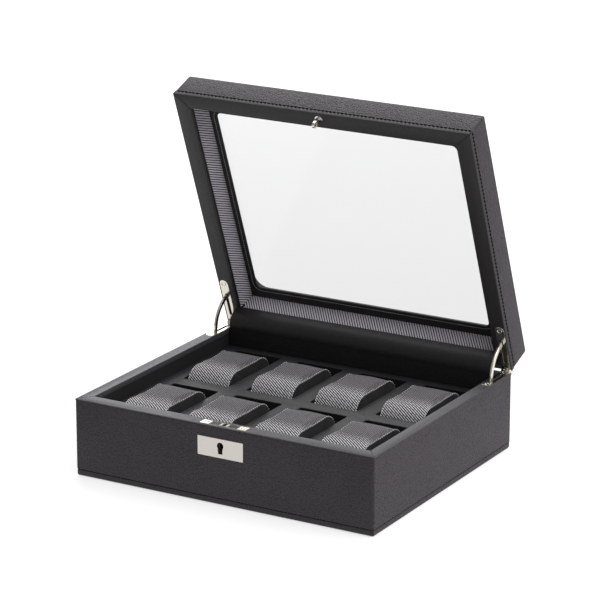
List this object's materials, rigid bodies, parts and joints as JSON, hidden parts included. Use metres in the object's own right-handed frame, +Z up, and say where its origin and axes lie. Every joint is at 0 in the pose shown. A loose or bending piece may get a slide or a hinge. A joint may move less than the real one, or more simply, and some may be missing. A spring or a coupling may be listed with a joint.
{
  "type": "watch box",
  "caption": "Leather-covered box with padded pockets for watches, removable cushions, a framed glass lid on stay hinges and a small lock.",
  "frame": {"origin": "middle of the underside of the base, on the surface it stands on", "axes": "+X to the right, +Y to the back where the hinges are, +Z up; the lid stands open"},
  "size_m": [0.29, 0.2771, 0.3121],
  "materials": {
    "charcoal_leather": "pebbled, matt",
    "smooth_grey_leather": "fine grain, soft sheen",
    "bare_board": "sanded fibreboard",
    "black_velour": "short pile",
    "ribbed_lining": "ribbed weave",
    "woven_band": "twill weave",
    "foam": "open cell",
    "nickel_plate": "bright",
    "clear_glass": "polished"
  },
  "bodies": {
    "base": {"underside_felt": "black_velour", "bottom_board": "bare_board", "front_board": "bare_board", "back_board": "bare_board", "left_board": "bare_board", "right_board": "bare_board", "base_leather": "charcoal_leather", "rim_leather": "smooth_grey_leather", "base_lining": "black_velour", "tray_floor_pad": "black_velour", "tray_divider": "bare_board", "tray_ribs": "bare_board", "tray_side_strips": "bare_board", "tray_end_strips": "bare_board", "tray_leather": "smooth_grey_leather", "lock_case": "nickel_plate", "lock_selvedge": "nickel_plate", "lock_screws": "nickel_plate", "escutcheon": "nickel_plate", "left_base_leaf": "nickel_plate", "right_base_leaf": "nickel_plate", "left_hinge_pin": "nickel_plate", "right_hinge_pin": "nickel_plate", "base_hinge_screws": "nickel_plate", "hinge_gusset": "charcoal_leather"},
    "lid": {"lid_front_board": "bare_board", "lid_back_board": "bare_board", "lid_left_board": "bare_board", "lid_right_board": "bare_board", "lid_top_panel": "bare_board", "lid_leather": "charcoal_leather", "lid_rim_leather": "smooth_grey_leather", "lid_lining": "ribbed_lining", "glass_pane": "clear_glass", "glass_retainer": "charcoal_leather", "left_lid_leaf": "nickel_plate", "right_lid_leaf": "nickel_plate", "lid_hinge_screws": "nickel_plate", "catch_plate": "nickel_plate", "catch_staple": "nickel_plate"},
    "left_stay": {"left_stay": "nickel_plate"},
    "right_stay": {"right_stay": "nickel_plate"},
    "lock_bolt": {"lock_bolt": "nickel_plate"},
    "cushion_back_1": {"cushion_back_1": "woven_band", "cushion_core_back_1": "foam"},
    "cushion_back_2": {"cushion_back_2": "woven_band", "cushion_core_back_2": "foam"},
    "cushion_back_3": {"cushion_back_3": "woven_band", "cushion_core_back_3": "foam"},
    "cushion_back_4": {"cushion_back_4": "woven_band", "cushion_core_back_4": "foam"},
    "cushion_front_1": {"cushion_front_1": "woven_band", "cushion_core_front_1": "foam"},
    "cushion_front_2": {"cushion_front_2": "woven_band", "cushion_core_front_2": "foam"},
    "cushion_front_3": {"cushion_front_3": "woven_band", "cushion_core_front_3": "foam"},
    "cushion_front_4": {"cushion_front_4": "woven_band", "cushion_core_front_4": "foam"}
  },
  "joints": [
    {"name": "lid_hinge", "type": "hinge", "parent": "base", "child": "lid", "pos_m": [0, 0.1253, 0.0695], "axis": [-1, 0, 0], "range_deg": [-69, 0], "deforming": ["hinge_gusset"]},
    {"name": "left_stay_slide", "type": "hinge", "parent": "base", "child": "left_stay", "pos_m": [-0.1395, 0.1253, 0.0695], "axis": [-1, 0, 0], "range_deg": [-34.5, 0]},
    {"name": "right_stay_slide", "type": "hinge", "parent": "base", "child": "right_stay", "pos_m": [0.1395, 0.1253, 0.0695], "axis": [-1, 0, 0], "range_deg": [-34.5, 0]},
    {"name": "lock_bolt_slide", "type": "slide", "parent": "base", "child": "lock_bolt", "axis": [1, 0, 0], "range_m": [0, 0.006]},
    {"name": "cushion_back_1_lift", "type": "slide", "parent": "base", "child": "cushion_back_1", "axis": [0, 0, 1], "range_m": [0, 0.045]},
    {"name": "cushion_back_2_lift", "type": "slide", "parent": "base", "child": "cushion_back_2", "axis": [0, 0, 1], "range_m": [0, 0.045]},
    {"name": "cushion_back_3_lift", "type": "slide", "parent": "base", "child": "cushion_back_3", "axis": [0, 0, 1], "range_m": [0, 0.045]},
    {"name": "cushion_back_4_lift", "type": "slide", "parent": "base", "child": "cushion_back_4", "axis": [0, 0, 1], "range_m": [0, 0.045]},
    {"name": "cushion_front_1_lift", "type": "slide", "parent": "base", "child": "cushion_front_1", "axis": [0, 0, 1], "range_m": [0, 0.045]},
    {"name": "cushion_front_2_lift", "type": "slide", "parent": "base", "child": "cushion_front_2", "axis": [0, 0, 1], "range_m": [0, 0.045]},
    {"name": "cushion_front_3_lift", "type": "slide", "parent": "base", "child": "cushion_front_3", "axis": [0, 0, 1], "range_m": [0, 0.045]},
    {"name": "cushion_front_4_lift", "type": "slide", "parent": "base", "child": "cushion_front_4", "axis": [0, 0, 1], "range_m": [0, 0.045]}
  ],
  "couplings": [
    {"joint": "left_stay_slide", "follows": "lid_hinge", "ratio": 0.5},
    {"joint": "right_stay_slide", "follows": "lid_hinge", "ratio": 0.5}
  ]
}
